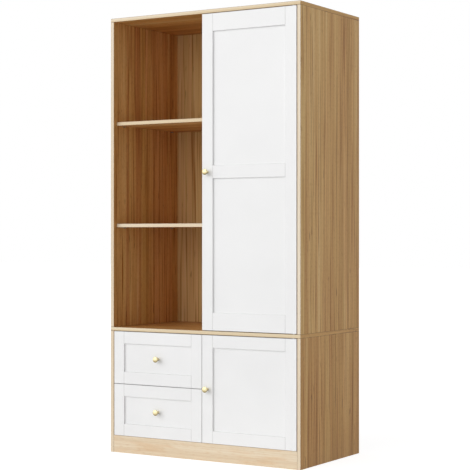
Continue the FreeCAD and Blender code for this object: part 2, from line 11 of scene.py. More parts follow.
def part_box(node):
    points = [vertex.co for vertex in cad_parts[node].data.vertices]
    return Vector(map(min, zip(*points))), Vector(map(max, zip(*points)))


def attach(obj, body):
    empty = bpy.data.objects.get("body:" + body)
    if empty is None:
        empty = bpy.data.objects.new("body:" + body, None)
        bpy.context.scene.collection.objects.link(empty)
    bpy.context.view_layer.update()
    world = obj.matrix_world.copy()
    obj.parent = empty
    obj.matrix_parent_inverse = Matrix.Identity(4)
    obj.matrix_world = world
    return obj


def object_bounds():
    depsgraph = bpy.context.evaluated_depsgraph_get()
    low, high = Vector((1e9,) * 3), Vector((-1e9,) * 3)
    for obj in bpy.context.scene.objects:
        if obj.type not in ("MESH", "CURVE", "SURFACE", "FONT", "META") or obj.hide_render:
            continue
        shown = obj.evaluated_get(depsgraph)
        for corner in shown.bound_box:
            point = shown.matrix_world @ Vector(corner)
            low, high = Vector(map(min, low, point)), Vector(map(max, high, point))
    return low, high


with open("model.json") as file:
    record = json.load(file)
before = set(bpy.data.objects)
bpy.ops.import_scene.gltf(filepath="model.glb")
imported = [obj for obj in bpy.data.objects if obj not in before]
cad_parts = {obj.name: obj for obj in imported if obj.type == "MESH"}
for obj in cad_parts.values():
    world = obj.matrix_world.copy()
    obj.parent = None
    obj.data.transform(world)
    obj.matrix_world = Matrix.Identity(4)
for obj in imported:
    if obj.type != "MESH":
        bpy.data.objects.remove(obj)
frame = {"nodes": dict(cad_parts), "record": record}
sizeBefore = [list(corner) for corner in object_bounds()]


def linear(hexCode):
    # sRGB hex to the linear values that Blender works in, by the numbers of the sRGB standard
    channels = [int(hexCode[i:i + 2], 16) / 255 for i in (0, 2, 4)]
    light = [c / 12.92 if c <= 0.04045 else ((c + 0.055) / 1.055) ** 2.4 for c in channels]
    return (*light, 1.0)


def metres(sizeMm):
    return sizeMm / 1000


def perMetre(sizeMm):
    # how often a thing of this size fits in a metre, which is a texture's scale
    return 1000 / sizeMm


nodeLayout = {"perRow": 12, "across": 190, "down": 330}  # where the editor shows each new node


def addNode(tree, kind, values=None, stops=None, **settings):
    # values fill or link sockets, stops fill a colour ramp, settings are the node's own options
    node = tree.nodes.new("ShaderNode" + kind)
    row, column = divmod(len(tree.nodes), nodeLayout["perRow"])
    node.location = (column * nodeLayout["across"], -row * nodeLayout["down"])
    for name, setting in settings.items():
        setattr(node, name, setting)
    for socket, value in (values or {}).items():
        if isinstance(value, bpy.types.NodeSocket):
            tree.links.new(value, node.inputs[socket])
        else:
            node.inputs[socket].default_value = value
    if stops:
        ramp = node.color_ramp
        ramp.elements[0].position = stops[0][0]
        ramp.elements[-1].position = stops[-1][0]
        for place, _ in stops[1:-1]:
            ramp.elements.new(place)
        for element, (_, colour) in zip(ramp.elements, stops):
            element.color = linear(colour)
    return node


def newMaterial(name):
    # an empty material with one Principled shader on its output
    material = bpy.data.materials.new(name)
    material.use_nodes = True
    tree = material.node_tree
    tree.nodes.clear()
    shader = addNode(tree, "BsdfPrincipled")
    addNode(tree, "OutputMaterial", {"Surface": shader.outputs[0]})
    return material, tree, shader


def layTogether(tree, layers, start=0.0):
    # adds patterns to a start value, each taken as strongly as its share says
    total = start
    for pattern, share in layers:
        values = {0: pattern, 1: share, 2: total}
        total = addNode(tree, "Math", values, operation="MULTIPLY_ADD").outputs[0]
    return total


def alongGrain(grain, sizeMm):
    # texture scales for marks of this length and width, with their length along the grain
    lengthMm, widthMm = sizeMm
    return [perMetre(lengthMm if axis == grain else widthMm) for axis in "XYZ"]


def grainPattern(tree, point, grain, marks):
    # noise drawn out along the grain; the seed takes it from another place in the noise
    values = {0: point, 1: alongGrain(grain, marks["mm"]), 2: [marks["seed"]] * 3}
    drawn = addNode(tree, "VectorMath", values, operation="MULTIPLY_ADD").outputs[0]
    values = {"Vector": drawn, "Scale": 1.0, "Detail": marks["detail"]}
    return addNode(tree, "TexNoise", values).outputs[0]


def stained(tree, colour, pattern, stain):
    # the colour multiplied by a stain where the pattern runs from the first value to the second
    low, high = stain["fromTo"]
    values = {"Value": pattern, "From Min": low, "From Max": high, "To Max": stain["amount"]}
    share = addNode(tree, "MapRange", values).outputs[0]
    values = {"Factor": share, "A": colour, "B": linear(stain["colour"])}
    return addNode(tree, "Mix", values, data_type="RGBA", blend_type="MULTIPLY").outputs["Result"]


def marked(tree, colour, point, grain, marks):
    # the colour stained by one kind of mark of the grain
    return stained(tree, colour, grainPattern(tree, point, grain, marks), marks)


# Faces and edges are found by cosines: between a surface and an axis, or between a face and
# its bevelled self. Of a pair, the mask is 0 at the first and 1 at the second.
edgeFinding = {"facing": 0.8, "eased": (0.985, 0.9), "near": (0.995, 0.88), "bevelSamples": 4}


def facing(tree, direction):
    # 1 on the faces of a board that look this way
    values = {0: addNode(tree, "TexCoord").outputs["Normal"], 1: direction}
    towards = addNode(tree, "VectorMath", values, operation="DOT_PRODUCT").outputs["Value"]
    values = {0: towards, 1: edgeFinding["facing"]}
    return addNode(tree, "Math", values, operation="GREATER_THAN").outputs[0]


def easedEdges(tree):
    # 1 on the rounded edges of a board, whose surface looks along none of its axes
    normal = addNode(tree, "TexCoord").outputs["Normal"]
    sizes = addNode(tree, "VectorMath", {0: normal}, operation="ABSOLUTE").outputs[0]
    axes = addNode(tree, "SeparateXYZ", {0: sizes}).outputs
    most = addNode(tree, "Math", {0: axes[0], 1: axes[1]}, operation="MAXIMUM").outputs[0]
    most = addNode(tree, "Math", {0: most, 1: axes[2]}, operation="MAXIMUM").outputs[0]
    square, turned = edgeFinding["eased"]
    return addNode(tree, "MapRange", {"Value": most, "From Min": square, "From Max": turned}).outputs[0]


def nearEdges(tree, widthMm):
    # 1 at the very edge of a face, fading to 0 this far in from it
    samples = edgeFinding["bevelSamples"]
    rounded = addNode(tree, "Bevel", {"Radius": metres(widthMm)}, samples=samples).outputs[0]
    values = {0: rounded, 1: addNode(tree, "NewGeometry").outputs["Normal"]}
    alike = addNode(tree, "VectorMath", values, operation="DOT_PRODUCT").outputs["Value"]
    flat, bent = edgeFinding["near"]
    return addNode(tree, "MapRange", {"Value": alike, "From Min": flat, "From Max": bent}).outputs[0]


noiseSpan = (0.3, 0.7)  # where nearly all values of a noise texture lie


def dress(tree, shader, look, colour, gloss, relief):
    # colour, roughness between the look's two values by the gloss pattern, and relief as bump
    low, high = noiseSpan
    smooth, dull = look["roughness"]
    values = {"Value": gloss, "From Min": low, "From Max": high, "To Min": smooth, "To Max": dull}
    rough = addNode(tree, "MapRange", values).outputs[0]
    values = {"Height": relief, "Strength": look["bump"], "Distance": metres(look["bumpMm"])}
    bump = addNode(tree, "Bump", values).outputs[0]
    tree.links.new(colour, shader.inputs["Base Color"])
    tree.links.new(rough, shader.inputs["Roughness"])
    tree.links.new(bump, shader.inputs["Normal"])


# Oak decor board: chipboard faced with paper printed as oak staves and pressed in melamine.
# It gives straight streaks of several widths, close in tone, with short dark marks, faint
# pores and a dull sheen. The edges are taped, and whatever looks to the front, tape or face,
# is given paler tones: partly the tape, partly painted light.
oakDecor = {
    "staveMm": (2600, 32), "staveShare": 0.16,  # length and width, as for every mark below
    "bands": {"mm": (3000, 90), "detail": 1.0, "seed": 3.7},
    "streaks": {"mm": (900, 8), "detail": 3.0, "seed": 9.1}, "streakShare": 0.40,
    # fibres and pores are finer in real oak decor, drawn as fine as shows
    "fibres": {"mm": (180, 2.2), "detail": 2.0, "seed": 5.3}, "fibreShare": 0.22,
    "pores": {
        "mm": (16, 0.9), "detail": 1.0, "seed": 1.9,
        "fromTo": (0.62, 0.72), "amount": 0.8, "colour": "b89470",
    },
    "lines": {
        "mm": (420, 5), "detail": 1.0, "seed": 2.6,
        "fromTo": (0.56, 0.70), "amount": 1.0, "colour": "c8a882",
    },
    "darkMarks": {
        "mm": (75, 10), "detail": 1.0, "seed": 7.7,
        "fromTo": (0.71, 0.80), "amount": 0.75, "colour": "9c7f57",
    },
    "faceTones": [(0.30, "b27c42"), (0.44, "d4a869"), (0.56, "e6be80"), (0.70, "f2d6a6")],
    "outerStaves": ("f4ebe2", "f4f2e7"),  # the reddest and the yellowest stave of an outer face
    "outerReach": 0.4,  # metres out from the wardrobe's middle, from where a face may be outer
    "tapeSpread": 0.4, "tapeLift": 0.30,  # tape keeps this share of the spread of tones, lifted
    "edgeLineColour": "4f3318",
    # darkening along the edges of the front: the tape's glue line, and painted shade of the gaps
    "glueLineAndShade": {"mm": 2.6, "fromTo": (0, 1), "amount": 1.0, "colour": "8f6c46"},
    "chipMm": 2.4, "chipTones": [(0.30, "a58a62"), (0.52, "c6ab80"), (0.70, "dcc59d")],
    "roughness": (0.40, 0.52), "specular": 0.25, "poreDepth": 0.5, "bump": 0.2, "bumpMm": 0.3,
}
# Boards are cut from different places on the printed sheets: which way the grain runs, how far
# along the print was cut, the reddest and the yellowest stave of a face that looks into the
# wardrobe, how strong the bands are, and the tones of the front edge or face, which are paler
# partly as painted light.
boardPrints = {
    "oakDecorUpright": {
        "grain": "Z", "cutAt": (0, 0, 0), "roomStaves": ("f9e9ee", "f9fbee"), "bandShare": 0.22,
        "frontTones": [(0.36, "e4d0b3"), (0.50, "ecdcc3"), (0.64, "f2e7d4")],
    },
    "oakDecorUprightLow": {
        "grain": "Z", "cutAt": (0, 0.83, 1.9), "roomStaves": ("f9e9ee", "f9fbee"), "bandShare": 0.22,
        "outerStaves": ("eee1d4", "eee8d9"),
        "frontTones": [(0.36, "e2cdb0"), (0.50, "ead9be"), (0.64, "f1e5d0")],
    },
    "oakDecorBack": {
        "grain": "Z", "cutAt": (0, 0, 0), "roomStaves": ("fff5ea", "fffcf0"), "bandShare": 0.22,
        "frontTones": [(0.30, "c19a5d"), (0.44, "dbbd86"), (0.56, "e5ca99"), (0.70, "f0deb8")],
    },
    "oakDecorLying": {
        "grain": "X", "cutAt": (0, 0, 0), "roomStaves": ("f0dcc9", "f0e6cf"), "bandShare": 0.60,
        "outerStaves": ("f0dcc9", "f0e6cf"),
        "frontTones": [(0.36, "dcc29b"), (0.50, "e5d0ae"), (0.64, "edddc2")],
    },
    # the middle board's faces inside the wardrobe are printed darker than the other lying boards: painted
    # shade of the deep compartment
    "oakDecorMiddleWithPaintedShade": {
        "grain": "X", "cutAt": (0.9, 0.35, 0), "roomStaves": ("e2cebf", "e2d8c4"), "bandShare": 0.60,
        "frontTones": [(0.36, "e2cca8"), (0.50, "eadaba"), (0.64, "f1e5cd")],
    },
    "oakDecorTop": {
        "grain": "X", "cutAt": (0.4, 0.21, 0), "roomStaves": ("f0dcc9", "f0e6cf"), "bandShare": 0.60,
        "frontTones": [(0.36, "dfc8a2"), (0.50, "e7d3b2"), (0.64, "eedfc6")],
    },
    "oakDecorPlinth": {
        "grain": "X", "cutAt": (1.3, 0, 0), "roomStaves": ("f4e6d9", "f4f0dd"), "bandShare": 0.22,
        "frontTones": [(0.34, "dfc8a9"), (0.50, "e8d5b9"), (0.66, "efe1ca")],
        "edgeLineColour": "dcc39c",
        # its front is broad enough to show the print's flame figure and the flecks in it
        "figure": [
            {"mm": (150, 16), "detail": 2.0, "seed": 8.8,
             "fromTo": (0.50, 0.66), "amount": 0.9, "colour": "faf0e5"},
            {"mm": (30, 3), "detail": 2.0, "seed": 6.4,
             "fromTo": (0.54, 0.70), "amount": 0.8, "colour": "f5eadc"},
        ],
    },
    "oakDecorBearer": {
        "grain": "Y", "cutAt": (0, 0, 0), "roomStaves": ("f4e6d9", "f4f0dd"), "bandShare": 0.22,
        "frontTones": [(0.36, "dabd96"), (0.50, "e2caa8"), (0.64, "ebd9bd")],
    },
}


def outside(tree, reach):
    # 1 on the big faces that look away from the middle of the wardrobe
    coords = addNode(tree, "TexCoord").outputs
    middle = (0, 0, sizeBefore[1][2] / 2)
    values = {0: coords["Object"], 1: middle}
    fromMiddle = addNode(tree, "VectorMath", values, operation="SUBTRACT").outputs[0]
    values = {0: fromMiddle, 1: coords["Normal"]}
    outward = addNode(tree, "VectorMath", values, operation="DOT_PRODUCT").outputs["Value"]
    return addNode(tree, "Math", {0: outward, 1: reach}, operation="GREATER_THAN").outputs[0]


def oakTone(tree, point, grain, sheet, look):
    # bands, staves, streaks and fibres together; each is about 0.5 on average, and so is their sum
    values = {0: point, 1: alongGrain(grain, look["staveMm"])}
    drawn = addNode(tree, "VectorMath", values, operation="MULTIPLY").outputs[0]
    stave = addNode(tree, "TexVoronoi", {"Vector": drawn, "Scale": 1.0}).outputs["Color"]
    toneChance, hueChance, _ = addNode(tree, "SeparateColor", {0: stave}).outputs
    layers = [
        (toneChance, look["staveShare"]),
        (grainPattern(tree, point, grain, look["bands"]), sheet["bandShare"]),
        (grainPattern(tree, point, grain, look["streaks"]), look["streakShare"]),
        (grainPattern(tree, point, grain, look["fibres"]), look["fibreShare"]),
    ]
    tone = layTogether(tree, layers, 0.5 - sum(share for _, share in layers) / 2)
    outerStaves = sheet.get("outerStaves", look["outerStaves"])
    hues = []
    for redStave, yellowStave in (sheet["roomStaves"], outerStaves):
        values = {"Factor": hueChance, "A": linear(redStave), "B": linear(yellowStave)}
        hues.append(addNode(tree, "Mix", values, data_type="RGBA").outputs["Result"])
    values = {"Factor": outside(tree, look["outerReach"]), "A": hues[0], "B": hues[1]}
    hue = addNode(tree, "Mix", values, data_type="RGBA").outputs["Result"]
    return tone, hue


def printedOak(tree, point, grain, tone, hue, tones, look):
    # the print on a face: its tones, turned redder or yellower by stave, with lines and dark marks
    colour = addNode(tree, "ValToRGB", {"Fac": tone}, stops=tones).outputs["Color"]
    values = {"Factor": 1.0, "A": colour, "B": hue}
    colour = addNode(tree, "Mix", values, data_type="RGBA", blend_type="MULTIPLY").outputs["Result"]
    colour = marked(tree, colour, point, grain, look["lines"])
    return marked(tree, colour, point, grain, look["darkMarks"])


def oakBoard(name, look=oakDecor):
    sheet = boardPrints[name]
    grain = sheet["grain"]
    material, tree, shader = newMaterial(name)
    shader.inputs["Specular IOR Level"].default_value = look["specular"]
    place = addNode(tree, "TexCoord").outputs["Object"]
    if grain == "X":  # the tape on this board's ends runs front to back, so the print is turned there
        ends = layTogether(tree, [(facing(tree, (1, 0, 0)), 1.0), (facing(tree, (-1, 0, 0)), 1.0)])
        x, y, z = addNode(tree, "SeparateXYZ", {0: place}).outputs
        turned = addNode(tree, "CombineXYZ", {0: y, 1: x, 2: z}).outputs[0]
        values = {"Factor": ends, "A": place, "B": turned}
        place = addNode(tree, "Mix", values, data_type="VECTOR").outputs["Result"]
    point = addNode(tree, "VectorMath", {0: place, 1: sheet["cutAt"]}, operation="ADD").outputs[0]
    tone, hue = oakTone(tree, point, grain, sheet, look)
    if grain == "X":  # tape is cut from calmer stretches of the print
        calm = layTogether(tree, [(tone, look["tapeSpread"])], look["tapeLift"])
        tone = addNode(tree, "Mix", {"Factor": ends, "A": tone, "B": calm}).outputs["Result"]
    face = printedOak(tree, point, grain, tone, hue, look["faceTones"], look)
    pores = grainPattern(tree, point, grain, look["pores"])
    face = stained(tree, face, pores, look["pores"])
    front = addNode(tree, "ValToRGB", {"Fac": tone}, stops=sheet["frontTones"]).outputs["Color"]
    for marks in sheet.get("figure", []):
        front = marked(tree, front, point, grain, marks)
    if "figure" not in sheet:
        # the edges of the front are darkened: partly the tape's glue line, partly painted shade of the
        # gaps and joints beside them
        glueLineAndShade = look["glueLineAndShade"]
        front = stained(tree, front, nearEdges(tree, glueLineAndShade["mm"]), glueLineAndShade)
    # faces and edges that look to the front take the paler front tones: partly edge tape, partly painted
    # light from the front
    values = {"Factor": facing(tree, (0, -1, 0)), "A": face, "B": front}
    colour = addNode(tree, "Mix", values, data_type="RGBA").outputs["Result"]
    # along every eased edge a thin dark line is drawn: the glue line, and painted shade of the joint
    edgeLine = linear(sheet.get("edgeLineColour", look["edgeLineColour"]))
    values = {"Factor": easedEdges(tree), "A": colour, "B": edgeLine}
    colour = addNode(tree, "Mix", values, data_type="RGBA").outputs["Result"]
    # the rear edges aren't taped, so the pressed chips show
    chips = addNode(tree, "TexVoronoi", {"Vector": point, "Scale": perMetre(look["chipMm"])})
    chipTone = addNode(tree, "SeparateColor", {0: chips.outputs["Color"]}).outputs[0]
    core = addNode(tree, "ValToRGB", {"Fac": chipTone}, stops=look["chipTones"]).outputs["Color"]
    values = {"Factor": facing(tree, (0, 1, 0)), "A": colour, "B": core}
    colour = addNode(tree, "Mix", values, data_type="RGBA").outputs["Result"]
    relief = layTogether(tree, [(tone, 1.0), (pores, -look["poreDepth"])])
    dress(tree, shader, look, colour, pores, relief)
    return material


# Back panels: thin fibreboard, printed as oak on the room side and left raw behind, which is
# brown, blotchy and fibrous, and keeps the weave of the screen that it was pressed on.
hardboard = {
    "tones": [(0.34, "8a6440"), (0.50, "9c7650"), (0.66, "b08c64")],
    "fluffMm": 2.5, "fluffDetail": 4.0, "fluffShare": 0.5,
    "blotchMm": 70, "blotchDetail": 5.0, "blotchShare": 0.5,
    "screenMm": 3.2,  # the press screen is finer, drawn coarser
    "screenDepth": 0.35, "fluffDepth": 0.5, "rawDullness": 0.9,
    "roughness": (0.40, 0.52), "specular": 0.25, "bump": 0.3, "bumpMm": 0.3,
}


def printedHardboard(name, decor=oakDecor, look=hardboard):
    sheet = boardPrints[name]
    material, tree, shader = newMaterial(name)
    shader.inputs["Specular IOR Level"].default_value = look["specular"]
    point = addNode(tree, "TexCoord").outputs["Object"]
    tone, hue = oakTone(tree, point, sheet["grain"], sheet, decor)
    printed = printedOak(tree, point, sheet["grain"], tone, hue, sheet["frontTones"], decor)
    values = {"Vector": point, "Scale": perMetre(look["fluffMm"]), "Detail": look["fluffDetail"]}
    fluff = addNode(tree, "TexNoise", values).outputs[0]
    values = {"Vector": point, "Scale": perMetre(look["blotchMm"]), "Detail": look["blotchDetail"]}
    blotches = addNode(tree, "TexNoise", values).outputs[0]
    fibres = layTogether(tree, [(fluff, look["fluffShare"]), (blotches, look["blotchShare"])])
    raw = addNode(tree, "ValToRGB", {"Fac": fibres}, stops=look["tones"]).outputs["Color"]
    behind = facing(tree, (0, 1, 0))
    values = {"Factor": behind, "A": printed, "B": raw}
    colour = addNode(tree, "Mix", values, data_type="RGBA").outputs["Result"]
    spread = [2 * math.pi * perMetre(look["screenMm"])] * 3
    angles = addNode(tree, "VectorMath", {0: point, 1: spread}, operation="MULTIPLY").outputs[0]
    sines = addNode(tree, "VectorMath", {0: angles}, operation="SINE").outputs[0]
    waves = addNode(tree, "SeparateXYZ", {0: sines}).outputs
    weave = addNode(tree, "Math", {0: waves["X"], 1: waves["Z"]}, operation="MULTIPLY").outputs[0]
    pressed = addNode(tree, "Math", {0: weave, 1: behind}, operation="MULTIPLY").outputs[0]
    relief = layTogether(tree, [(pressed, look["screenDepth"]), (fluff, look["fluffDepth"])])
    gloss = layTogether(tree, [(behind, look["rawDullness"]), (fluff, 1.0)])
    dress(tree, shader, look, colour, gloss, relief)
    return material


# White lacquer: sprayed on fibreboard and rubbed down, so the skin is even, satin,
# and very slightly dimpled, with a little more gloss in some places than in others.
whiteLacquer = {
    "tones": [(0.35, "f1f1f1"), (0.65, "f4f4f4")], "cloudMm": 260, "cloudDetail": 2.0,
    "paintedEdgeShade": "9b9793",  # the eased edges and joints are drawn grey: painted shade of the joint and recess lines
    "dimpleMm": 3.0, "dimpleDetail": 1.0,  # about 1 mm in reality, drawn coarser so that they show
    "roughness": (0.32, 0.42), "bump": 0.05, "bumpMm": 0.1,
}


def lacquer(name, look=whiteLacquer):
    material, tree, shader = newMaterial(name)
    point = addNode(tree, "TexCoord").outputs["Object"]
    values = {"Vector": point, "Scale": perMetre(look["cloudMm"]), "Detail": look["cloudDetail"]}
    clouds = addNode(tree, "TexNoise", values).outputs[0]
    colour = addNode(tree, "ValToRGB", {"Fac": clouds}, stops=look["tones"]).outputs["Color"]
    # painted shade: every eased edge of the lacquer is drawn grey
    values = {"Factor": easedEdges(tree), "A": colour, "B": linear(look["paintedEdgeShade"])}
    colour = addNode(tree, "Mix", values, data_type="RGBA").outputs["Result"]
    values = {"Vector": point, "Scale": perMetre(look["dimpleMm"]), "Detail": look["dimpleDetail"]}
    dimples = addNode(tree, "TexNoise", values).outputs[0]
    dress(tree, shader, look, colour, clouds, dimples)
    return material


# White melamine board of the drawer boxes: paper pressed with a fine pearl texture.
pearlBoard = {
    "tones": [(0.35, "dedcd6"), (0.65, "e8e6e1")], "cloudMm": 90, "cloudDetail": 3.0,
    "pearlMm": 1.6, "roughness": (0.42, 0.55), "bump": 0.25, "bumpMm": 0.2,
}


def pearlMelamine(name, look=pearlBoard):
    material, tree, shader = newMaterial(name)
    point = addNode(tree, "TexCoord").outputs["Object"]
    values = {"Vector": point, "Scale": perMetre(look["pearlMm"])}
    pearl = addNode(tree, "TexVoronoi", values, feature="SMOOTH_F1").outputs[0]
    values = {"Vector": point, "Scale": perMetre(look["cloudMm"]), "Detail": look["cloudDetail"]}
    clouds = addNode(tree, "TexNoise", values).outputs[0]
    colour = addNode(tree, "ValToRGB", {"Fac": clouds}, stops=look["tones"]).outputs["Color"]
    dress(tree, shader, look, colour, pearl, pearl)
    return material


# Beech of the dowels: raw, turned and fluted, pale pink brown with short dark rays.
beechDowel = {
    "tones": [(0.35, "c49a6c"), (0.65, "dcb98d")], "grain": "X",
    "fibres": {"mm": (20, 0.8), "detail": 3.0, "seed": 2.1},
    "rays": {
        "mm": (3, 0.3), "detail": 1.0, "seed": 6.1,
        "fromTo": (0.60, 0.68), "amount": 1.0, "colour": "b07f52",
    },
    "roughness": (0.6, 0.75), "bump": 0.3, "bumpMm": 0.2,
}


def rawBeech(name, look=beechDowel):
    material, tree, shader = newMaterial(name)
    point = addNode(tree, "TexCoord").outputs["Object"]
    fibres = grainPattern(tree, point, look["grain"], look["fibres"])
    colour = addNode(tree, "ValToRGB", {"Fac": fibres}, stops=look["tones"]).outputs["Color"]
    colour = marked(tree, colour, point, look["grain"], look["rays"])
    dress(tree, shader, look, colour, fibres, fibres)
    return material


# Brass of the knobs: turned on a lathe and brushed satin, so the gold is pale and soft, with
# hair-fine rings round the axis. Faces that look down are darkened to olive as painted shade.
brassKnob = {
    "tones": [(0.35, "d3c599"), (0.65, "ded1ab")], "smudgeMm": 7, "smudgeDetail": 3.0,
    # the olive below is painted shade on the faces that look down
    "paintedUndersideShade": {"fromTo": (0.22, 0.55), "amount": 1.0, "colour": "a39870"}, "undersideShadeSmudge": 0.2,
    "axisAt": (0.5, 0.0, 0.5),  # in shares of the knob's box
    "headDiameterMm": 24, "ringPitchMm": 0.5,  # tool marks are finer, drawn coarser to show
    "roughness": (0.40, 0.52), "bump": 0.06, "bumpMm": 0.05,
}


def turnedBrass(name, look=brassKnob):
    material, tree, shader = newMaterial(name)
    shader.inputs["Metallic"].default_value = 1.0
    coords = addNode(tree, "TexCoord").outputs
    scale = perMetre(look["smudgeMm"])
    values = {"Vector": coords["Object"], "Scale": scale, "Detail": look["smudgeDetail"]}
    smudge = addNode(tree, "TexNoise", values).outputs[0]
    colour = addNode(tree, "ValToRGB", {"Fac": smudge}, stops=look["tones"]).outputs["Color"]
    # how far a place looks down, with smudged borders, for the painted shade below
    values = {0: coords["Normal"], 1: (0, 0, -1)}
    down = addNode(tree, "VectorMath", values, operation="DOT_PRODUCT").outputs["Value"]
    paintedShadeBelow = layTogether(tree, [(down, 1.0), (smudge, look["undersideShadeSmudge"])])
    # painted shade: the faces that look down are darkened to olive
    colour = stained(tree, colour, paintedShadeBelow, look["paintedUndersideShade"])
    # distance from the knob's own axis, in the width of its head
    values = {0: coords["Generated"], 1: look["axisAt"]}
    fromAxis = addNode(tree, "VectorMath", values, operation="SUBTRACT").outputs[0]
    flat = addNode(tree, "VectorMath", {0: fromAxis, 1: (1, 0, 1)}, operation="MULTIPLY").outputs[0]
    radius = addNode(tree, "VectorMath", {0: flat}, operation="LENGTH").outputs["Value"]
    turns = look["headDiameterMm"] / look["ringPitchMm"] * 2 * math.pi
    angle = addNode(tree, "Math", {0: radius, 1: turns}, operation="MULTIPLY").outputs[0]
    rings = addNode(tree, "Math", {0: angle}, operation="SINE").outputs[0]
    dress(tree, shader, look, colour, smudge, rings)
    return material


# Metal fittings: zinc plated steel is satin with faint drawing lines along it,
# die cast zinc is duller and grainy.
platedSteel = {
    "tones": [(0.35, "b2b5b7"), (0.65, "c2c4c6")], "cloudMm": 25, "cloudDetail": 4.0,
    "lines": {"mm": (60, 0.5), "detail": 3.0, "seed": 4.4},
    "roughness": (0.27, 0.33), "bump": 0.12, "bumpMm": 0.1,
}
castZinc = {
    "tones": [(0.35, "94969a"), (0.65, "a9abae")], "cloudMm": 12, "cloudDetail": 4.0,
    "lines": {"mm": (1.5, 1.5), "detail": 3.0, "seed": 4.4},
    "roughness": (0.40, 0.55), "bump": 0.12, "bumpMm": 0.1,
}


def plainMetal(name, look):
    material, tree, shader = newMaterial(name)
    shader.inputs["Metallic"].default_value = 1.0
    point = addNode(tree, "TexCoord").outputs["Object"]
    lines = grainPattern(tree, point, "Y", look["lines"])  # the runners lie along Y
    values = {"Vector": point, "Scale": perMetre(look["cloudMm"]), "Detail": look["cloudDetail"]}
    clouds = addNode(tree, "TexNoise", values).outputs[0]
    colour = addNode(tree, "ValToRGB", {"Fac": clouds}, stops=look["tones"]).outputs["Color"]
    dress(tree, shader, look, colour, clouds, lines)
    return material


# Nylon of the bushes and catches: moulded, off-white, with a fine spark-eroded skin.
nylonPart = {
    "tones": [(0.35, "d3d0c8"), (0.65, "dfddd6")], "cloudMm": 15, "cloudDetail": 2.0,
    "skinMm": 0.6, "skinDetail": 2.0,
    "ior": 1.53, "roughness": (0.45, 0.6), "bump": 0.2, "bumpMm": 0.1,
}


def mouldedNylon(name, look=nylonPart):
    material, tree, shader = newMaterial(name)
    shader.inputs["IOR"].default_value = look["ior"]
    point = addNode(tree, "TexCoord").outputs["Object"]
    values = {"Vector": point, "Scale": perMetre(look["skinMm"]), "Detail": look["skinDetail"]}
    skin = addNode(tree, "TexNoise", values).outputs[0]
    values = {"Vector": point, "Scale": perMetre(look["cloudMm"]), "Detail": look["cloudDetail"]}
    clouds = addNode(tree, "TexNoise", values).outputs[0]
    colour = addNode(tree, "ValToRGB", {"Fac": clouds}, stops=look["tones"]).outputs["Color"]
    dress(tree, shader, look, colour, skin, skin)
    return material


slotFinish = {
    "oak_board": oakBoard("oakDecorUpright"),
    "oak_back": printedHardboard("oakDecorBack"),
    "white_lacquer": lacquer("whiteLacquer"),
    "drawer_board": pearlMelamine("whitePearlMelamine"),
    "beech": rawBeech("rawBeech"),
    "brass": turnedBrass("turnedBrass"),
    "steel": plainMetal("zincPlatedSteel", platedSteel),
    "zinc_alloy": plainMetal("dieCastZinc", castZinc),
    "nylon": mouldedNylon("mouldedNylon"),
}
boardGroups = {
    "oakDecorUprightLow": ["lower_left_side", "lower_right_side", "lower_partition"],
    "oakDecorMiddleWithPaintedShade": ["middle_panel"],
    "oakDecorLying": ["upper_shelf", "lower_shelf"],
    "oakDecorTop": ["top_panel"],
    "oakDecorPlinth": ["bottom_panel", "front_plinth", "rear_plinth"],
    "oakDecorBearer": ["centre_bearer"],
}
boardFinish = {}
for sheetName, boards in boardGroups.items():
    finish = oakBoard(sheetName)
    boardFinish.update({board: finish for board in boards})
slotOf = {part["node"]: part["material_slot"] for part in frame["record"]["subparts"]}
for nodeName, node in frame["nodes"].items():
    finish = boardFinish.get(nodeName, slotFinish[slotOf[nodeName]])
    for materialSlot in node.material_slots:
        materialSlot.material = finish
print("finishes on", len(slotOf), "nodes")


# Small pan-head screws: on each drawer three hold each runner to its box, and four hold the
# box to its front. They are pressed from wire, so the heads are domed, with a cross recess.
panHead = {
    "radiusMm": 3.5, "heightMm": 2.0, "sides": 24,
    "profile": [(1.0, 0.0), (1.0, 0.35), (0.93, 0.7), (0.74, 0.95), (0.62, 1.0)],  # shares, out and up
    "crossMm": (3.6, 0.9), "crossDeepMm": 1.1, "crossTaper": 0.55,
    "turnRad": 0.9,  # every screw stops at another angle
}
drawerScrews = {
    "runnerAlong": (0.12, 0.45, 0.88), "crownInMm": 6.3,  # into the runner, where its sheet lies
    "boardMm": 12, "fromSidesMm": 50, "offMiddleMm": 45,
}


def screwHead(look):
    # one head that stands on z = 0
    head = bmesh.new()
    radius, height = metres(look["radiusMm"]), metres(look["heightMm"])
    angles = [2 * math.pi * i / look["sides"] for i in range(look["sides"])]
    rings = []
    for out, up in look["profile"]:
        ring = [(out * radius * math.cos(a), out * radius * math.sin(a), up * height) for a in angles]
        rings.append([head.verts.new(place) for place in ring])
    for low, high in zip(rings, rings[1:]):
        for i in range(look["sides"]):
            head.faces.new((low[i - 1], low[i], high[i], high[i - 1])).smooth = True
    head.faces.new(rings[0])
    # the recess: one corner of the cross, turned to the other three
    arm, half = (metres(size) / 2 for size in look["crossMm"])
    corner = [(half, half), (half, arm), (-half, arm), (-half, half)]
    cross = corner + [(-y, x) for x, y in corner[1:]] + [(-x, -y) for x, y in corner[1:]]
    cross += [(y, -x) for x, y in corner[1:-1]]
    taper, floorZ = look["crossTaper"], height - metres(look["crossDeepMm"])
    rim = [head.verts.new((x, y, height)) for x, y in cross]
    floor = [head.verts.new((x * taper, y * taper, floorZ)) for x, y in cross]
    for i in range(len(cross)):
        head.faces.new((rim[i - 1], rim[i], floor[i], floor[i - 1]))
    head.faces.new(floor)
    loops = [head.edges.get((loop[i - 1], loop[i])) for loop in (rings[-1], rim) for i in range(len(loop))]
    bmesh.ops.triangle_fill(head, use_beauty=True, edges=loops)
    bmesh.ops.recalc_face_normals(head, faces=head.faces)
    mesh = bpy.data.meshes.new("screwHead")
    head.to_mesh(mesh)
    head.free()
    return mesh


